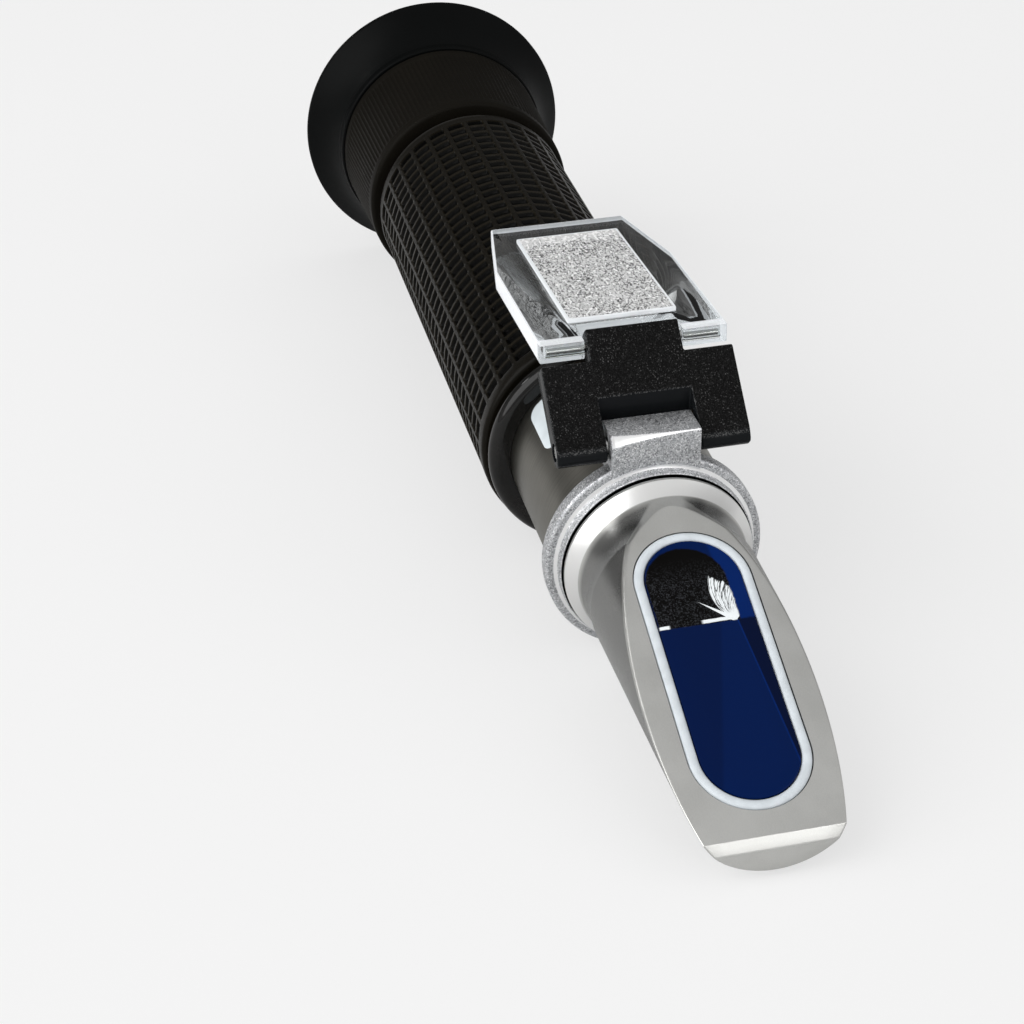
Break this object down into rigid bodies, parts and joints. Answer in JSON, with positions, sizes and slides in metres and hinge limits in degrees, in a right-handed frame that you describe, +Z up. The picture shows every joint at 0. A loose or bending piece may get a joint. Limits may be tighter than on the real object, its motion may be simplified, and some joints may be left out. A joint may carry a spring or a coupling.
{
  "type": "handheld alcohol refractometer",
  "caption": "Handheld tube refractometer with slanted prism head, flip-up clear daylight plate on a hinged black arm, ribbed grip and flared focusing eyecup.",
  "frame": {"origin": "middle of the instrument's footprint as it lies on its eyecup and its collar, at the surface it lies on", "axes": "+X along the tube towards the prism end, +Y sideways, +Z up on the hinge side; the tube's own axis dips 3.4 degrees towards +X"},
  "size_m": [0.171, 0.0398, 0.0397],
  "materials": {
    "satin_metal": "satin anodised grey",
    "cast_metal": "bead blasted",
    "head_metal": "fine satin",
    "prism_glass": "polished optical glass, deep blue from within",
    "seal": "soft white sealing compound",
    "soft_rubber": "black",
    "gloss_black": "polished black",
    "grip": "semi-gloss black, grid of recesses",
    "bush_brass": "turned",
    "black_anodised": "matte black anodised",
    "focus_black": "matte black, finely serrated",
    "cup_rubber": "smooth matte black",
    "lens_glass": "polished",
    "bimetal": "rolled strip",
    "steel": "turned",
    "arm_plastic": "fine grained black",
    "acrylic": "clear acrylic with a frosted raised window"
  },
  "bodies": {
    "barrel": {"barrel_tube": "satin_metal", "hinge_collar": "cast_metal", "prism_housing": "head_metal", "measuring_prism": "prism_glass", "prism_seal": "seal", "head_seal_ring": "soft_rubber", "front_ring": "gloss_black", "grip_sleeve": "grip", "focus_bush": "bush_brass", "reticle_disc": "lens_glass", "reticle_ring": "black_anodised", "bimetal_strip": "bimetal", "screw_bush": "bush_brass", "arm_hinge_pin": "steel"},
    "eyepiece": {"eyepiece_tube": "black_anodised", "eye_lens": "lens_glass", "lens_spacer": "black_anodised", "field_lens": "lens_glass", "lens_retainer": "black_anodised"},
    "focus_knob": {"focus_ring": "focus_black", "eyecup": "cup_rubber"},
    "carriage": {"lens_carriage": "black_anodised", "objective_lens": "lens_glass"},
    "adjuster": {"calibration_screw": "steel"},
    "arm": {"cover_arm": "arm_plastic"},
    "plate": {"daylight_plate": "acrylic", "plate_hinge_pin": "steel"}
  },
  "joints": [
    {"name": "focus_travel", "type": "slide", "parent": "barrel", "child": "eyepiece", "axis": [-0.9983, 0, 0.0591], "range_m": [-0.0015, 0.003]},
    {"name": "focus_turn", "type": "hinge", "parent": "eyepiece", "child": "focus_knob", "pos_m": [-0.06816, 0, 0.01899], "axis": [-0.9983, 0, 0.0591], "range_deg": [-180, 360]},
    {"name": "calibration_turn", "type": "hinge", "parent": "barrel", "child": "adjuster", "pos_m": [0.02982, 0, 0.02421], "axis": [0.0591, 0, 0.9983], "range_deg": [-180, 180]},
    {"name": "carriage_shift", "type": "slide", "parent": "barrel", "child": "carriage", "axis": [0.9983, 0, -0.0591], "range_m": [-0.0005, 0.0005]},
    {"name": "arm_hinge", "type": "hinge", "parent": "barrel", "child": "arm", "pos_m": [0.04105, 0, 0.02604], "axis": [0, 1, 0], "range_deg": [0, 153.3]},
    {"name": "plate_hinge", "type": "hinge", "parent": "arm", "child": "plate", "pos_m": [0.03305, 0, 0.03444], "axis": [0, 1, 0], "range_deg": [0, 52.1]}
  ],
  "couplings": [
    {"joint": "focus_turn", "follows": "focus_travel", "rad_per_m": 2094.4},
    {"joint": "calibration_turn", "follows": "carriage_shift", "rad_per_m": 6283.2}
  ]
}
